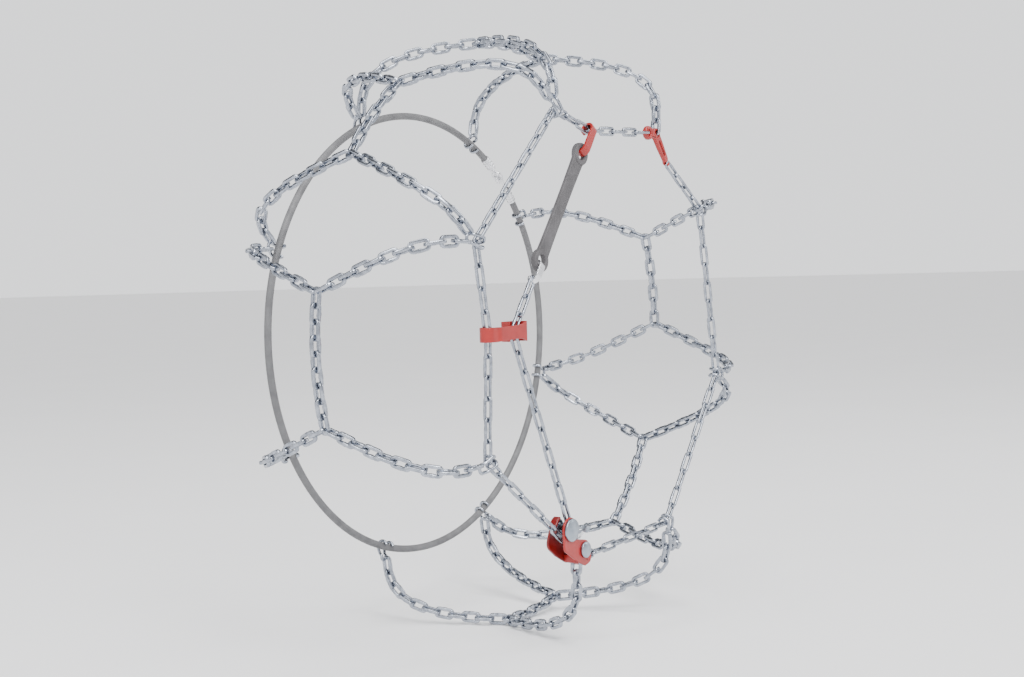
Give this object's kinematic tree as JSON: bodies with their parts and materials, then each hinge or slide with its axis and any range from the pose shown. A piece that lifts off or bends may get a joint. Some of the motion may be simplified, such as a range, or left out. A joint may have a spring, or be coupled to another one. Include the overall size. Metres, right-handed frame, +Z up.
{
  "type": "tire snow chains",
  "caption": "Snow chain for a car wheel: a net of V-shaped cross chains with a side chain, inner hoop cable, hooks, rubber strap and ratchet tensioner.",
  "frame": {"origin": "centre of the wheel that the chain sits on, in the tread's middle plane", "axes": "+Y along the wheel's axle towards the car, so the outer wheel face looks along -Y; +Z up; +X to the right of someone facing the wheel"},
  "size_m": [0.6553, 0.2803, 0.6554],
  "materials": {
    "zinc_steel": "zinc-plated hardened steel, lightly dulled",
    "bright_steel": "bright nickel-plated steel",
    "red_front": "red enamel, satin",
    "red_back": "dark red enamel, satin",
    "grey_rivet": "plain steel rivet heads",
    "strap_rubber": "matt dark grey moulded rubber",
    "cable_sleeve": "grey plastic sleeve over a steel cable"
  },
  "bodies": {
    "net": {"anchor_pin": "red_front", "centre_chain_1": "zinc_steel", "centre_chain_2": "zinc_steel", "centre_chain_3": "zinc_steel", "centre_chain_4": "zinc_steel", "centre_chain_5": "zinc_steel", "centre_chain_6": "zinc_steel", "cross_chain_01": "zinc_steel", "cross_chain_02": "zinc_steel", "cross_chain_03": "zinc_steel", "cross_chain_04": "zinc_steel", "cross_chain_05": "zinc_steel", "cross_chain_06": "zinc_steel", "cross_chain_07": "zinc_steel", "cross_chain_08": "zinc_steel", "cross_chain_09": "zinc_steel", "cross_chain_10": "zinc_steel", "cross_chain_11": "zinc_steel", "cross_chain_12": "zinc_steel", "guide_clip": "red_front", "hoop_cable": "cable_sleeve", "hoop_eye": "bright_steel", "hoop_hook": "bright_steel", "inner_hook_a": "zinc_steel", "inner_hook_b": "zinc_steel", "inner_hook_c": "zinc_steel", "inner_hook_d": "zinc_steel", "inner_hook_e": "zinc_steel", "inner_hook_f": "zinc_steel", "inner_hook_g": "zinc_steel", "inner_hook_h": "zinc_steel", "outer_hook_a": "zinc_steel", "outer_hook_b": "zinc_steel", "outer_hook_d": "zinc_steel", "outer_hook_e": "zinc_steel", "outer_hook_f": "zinc_steel", "outer_hook_h": "zinc_steel", "pawl_rivet": "grey_rivet", "pawl_spring": "bright_steel", "rubber_strap": "strap_rubber", "side_chain_1": "zinc_steel", "side_chain_2": "zinc_steel", "side_chain_3": "zinc_steel", "side_chain_4": "zinc_steel", "side_chain_5": "zinc_steel", "side_chain_6": "zinc_steel", "side_chain_7": "zinc_steel", "side_chain_8": "zinc_steel", "side_chain_9": "zinc_steel", "strap_hook": "red_front", "tensioner_back_plate": "red_back", "tensioner_front_plate": "red_front", "wheel_rivet": "grey_rivet"},
    "tension_run": {"tension_chain_lower": "zinc_steel"},
    "tension_pull": {"tension_hook": "bright_steel", "tension_chain_upper": "zinc_steel"},
    "bend_link": {"tension_link": "zinc_steel"},
    "ratchet_wheel": {"tension_wheel": "zinc_steel"},
    "pawl": {"locking_pawl": "bright_steel"},
    "closing_lever": {"closing_hook": "red_front"}
  },
  "joints": [
    {"name": "take_up", "type": "slide", "parent": "net", "child": "tension_run", "axis": [-0.4105, 0, 0.9119], "range_m": [0, 0.022]},
    {"name": "hook_pull", "type": "slide", "parent": "net", "child": "tension_pull", "axis": [0.5846, 0, 0.8114], "range_m": [0, 0.022], "deforming": ["rubber_strap"]},
    {"name": "bend_link_swing", "type": "hinge", "parent": "net", "child": "bend_link", "pos_m": [-0.15261, -0.13, 0.00489], "axis": [0, 1, 0], "range_deg": [0, 60.01]},
    {"name": "wheel_spin", "type": "hinge", "parent": "net", "child": "ratchet_wheel", "pos_m": [-0.0916, -0.13, -0.2014], "axis": [0, -1, 0], "range_deg": [0, 126.06]},
    {"name": "pawl_release", "type": "hinge", "parent": "net", "child": "pawl", "pos_m": [-0.0662, -0.1225, -0.2256], "axis": [0, 1, 0], "range_deg": [0, 15], "stiffness_Nm_per_rad": 0.02, "springref_deg": -5.73},
    {"name": "closing_hook_swing", "type": "hinge", "parent": "net", "child": "closing_lever", "pos_m": [0.0985, -0.13, 0.219], "axis": [-0.6329, 0, -0.7742], "range_deg": [0, 70]}
  ],
  "couplings": [
    {"joint": "hook_pull", "follows": "take_up", "ratio": 1},
    {"joint": "bend_link_swing", "follows": "take_up", "rad_per_m": 47.607},
    {"joint": "wheel_spin", "follows": "take_up", "rad_per_m": 100}
  ]
}
